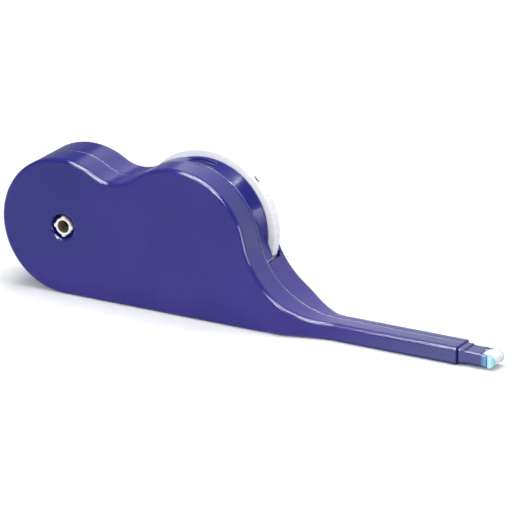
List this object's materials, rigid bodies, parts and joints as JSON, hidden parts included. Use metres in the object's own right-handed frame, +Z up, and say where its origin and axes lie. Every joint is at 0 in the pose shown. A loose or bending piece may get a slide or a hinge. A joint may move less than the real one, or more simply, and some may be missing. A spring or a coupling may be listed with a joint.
{
  "type": "fibre connector cleaner",
  "caption": "Reel-type fibre connector cleaner: two-lobed housing with a thumb wheel and a long slim stick, whose sprung head carries a loop of cleaning tape.",
  "frame": {"origin": "on the flat underside, straight below the axis of the supply reel and on the plane where the housing halves meet", "axes": "+X from the lobes along the stick to the cleaning tip, +Y from the front face to the rear face, +Z up from the underside"},
  "size_m": [0.2156, 0.0245, 0.0633],
  "materials": {
    "housing_plastic": "gloss blue-violet moulding",
    "wheel_plastic": "satin white moulding",
    "reel_plastic": "satin white moulding",
    "cleaning_tape": "woven white tape",
    "steel": "ground pins",
    "spring_steel": "drawn wire",
    "felt": "pressed felt",
    "pawl_plastic": "satin natural moulding",
    "roller_plastic": "smooth natural moulding",
    "rail_plastic": "satin natural moulding",
    "head_plastic": "translucent light blue moulding"
  },
  "bodies": {
    "housing": {"front_shell": "housing_plastic", "rear_shell": "housing_plastic", "inner_frame": "housing_plastic", "wheel_axle": "steel", "ratchet_pawl": "pawl_plastic", "brake_washer": "felt", "brake_spring": "spring_steel", "feed_roller_pin": "steel", "return_roller_pin": "steel", "guide_rail": "rail_plastic", "nose_sleeve": "housing_plastic", "feed_tape": "cleaning_tape", "return_tape": "cleaning_tape", "head_spring": "spring_steel"},
    "take_up": {"thumb_wheel": "wheel_plastic", "takeup_spool": "reel_plastic", "takeup_tape": "cleaning_tape"},
    "supply": {"supply_reel": "reel_plastic", "supply_tape": "cleaning_tape"},
    "feed_roller_body": {"feed_roller": "roller_plastic"},
    "return_roller_body": {"return_roller": "roller_plastic"},
    "head": {"cleaning_head": "head_plastic", "tape_loop": "cleaning_tape"}
  },
  "joints": [
    {"name": "wheel_spin", "type": "hinge", "parent": "housing", "child": "take_up", "pos_m": [0.0555, 0, 0.0333], "axis": [0, 1, 0], "continuous": true},
    {"name": "supply_spin", "type": "hinge", "parent": "housing", "child": "supply", "pos_m": [0, 0, 0.0278], "axis": [0, 1, 0], "continuous": true},
    {"name": "feed_roller_spin", "type": "hinge", "parent": "housing", "child": "feed_roller_body", "pos_m": [0.084, 0, 0.00402], "axis": [0, 1, 0], "continuous": true},
    {"name": "return_roller_spin", "type": "hinge", "parent": "housing", "child": "return_roller_body", "pos_m": [0.092, 0, 0.00792], "axis": [0, 1, 0], "continuous": true},
    {"name": "head_slide", "type": "slide", "parent": "housing", "child": "head", "axis": [1, 0, 0], "range_m": [-0.00035, 0], "stiffness_N_per_m": 150, "springref_m": 0.003, "deforming": ["head_spring"]}
  ],
  "couplings": [
    {"joint": "supply_spin", "follows": "wheel_spin", "ratio": -0.73684},
    {"joint": "feed_roller_spin", "follows": "wheel_spin", "ratio": -6.3636},
    {"joint": "return_roller_spin", "follows": "wheel_spin", "ratio": 6.3636}
  ]
}
